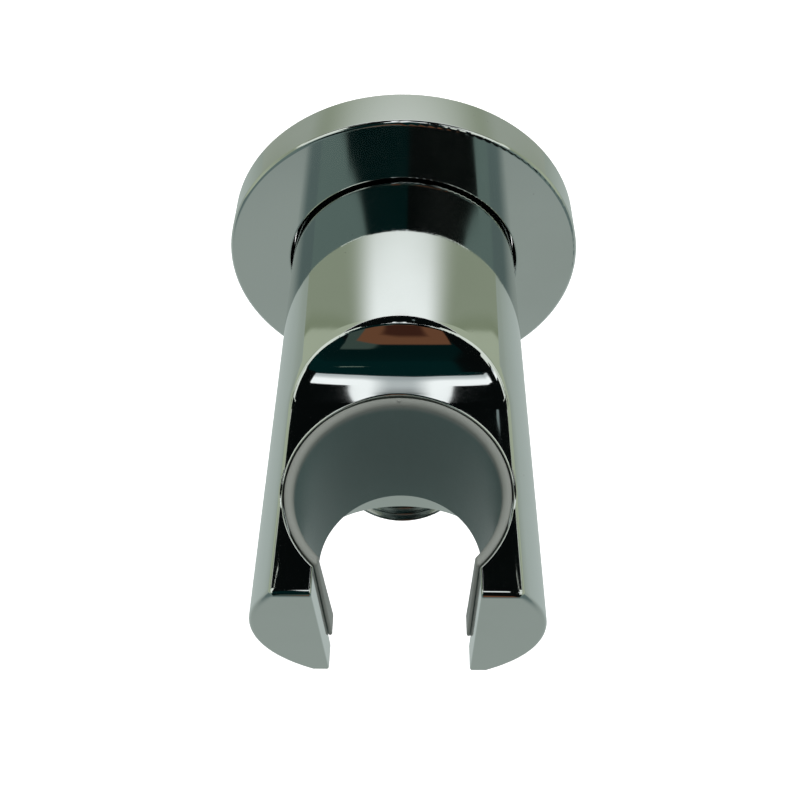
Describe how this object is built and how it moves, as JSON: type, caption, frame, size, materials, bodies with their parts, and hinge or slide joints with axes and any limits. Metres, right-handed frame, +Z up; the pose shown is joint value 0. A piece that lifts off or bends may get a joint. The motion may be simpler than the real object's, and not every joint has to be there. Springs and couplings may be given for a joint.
{
  "type": "wall outlet with hand shower holder",
  "caption": "Round chromed wall outlet elbow with an open cradle for a hand shower at its front, a plastic cone liner, a cover flange and a threaded hose spigot with a check valve.",
  "frame": {"origin": "centre of the flange's back face, on the wall and on the body's axis", "axes": "+Y into the wall along the body's axis, -Y out into the room towards the cradle, +Z up, +X to the right seen along +Y"},
  "size_m": [0.05, 0.075, 0.0505],
  "materials": {
    "chrome_body": "polished chrome plate on brass",
    "chrome_flange": "polished chrome plate on brass",
    "chrome_spigot": "chrome plate over a cut thread",
    "liner_plastic": "moulded, satin",
    "black_rubber": "smooth moulded rubber",
    "gasket_rubber": "closed-cell foam rubber, matt",
    "plain_brass": "turned, unplated",
    "screw_steel": "stainless, as machined",
    "valve_plastic": "moulded, off-white",
    "poppet_plastic": "moulded, blue",
    "spring_steel": "drawn stainless wire"
  },
  "bodies": {
    "outlet": {"holder_body": "chrome_body", "cradle_liner": "liner_plastic", "wall_nipple": "plain_brass", "nipple_o_ring_front": "black_rubber", "nipple_o_ring_rear": "black_rubber", "grub_screw": "screw_steel", "hose_spigot": "chrome_spigot", "spigot_o_ring": "black_rubber", "valve_housing": "valve_plastic", "valve_o_ring": "black_rubber", "valve_guide": "valve_plastic"},
    "flange": {"wall_flange": "chrome_flange", "flange_o_ring": "black_rubber", "flange_gasket": "gasket_rubber"},
    "poppet": {"valve_poppet": "poppet_plastic", "poppet_seal": "black_rubber", "valve_spring": "spring_steel"}
  },
  "joints": [
    {"name": "flange_slide", "type": "slide", "parent": "outlet", "child": "flange", "axis": [0, -1, 0], "range_m": [0, 0.007]},
    {"name": "valve_open", "type": "slide", "parent": "outlet", "child": "poppet", "axis": [0, 0, -1], "range_m": [0, 0.0025], "stiffness_N_per_m": 120, "springref_m": -0.003, "deforming": ["valve_spring"]}
  ]
}
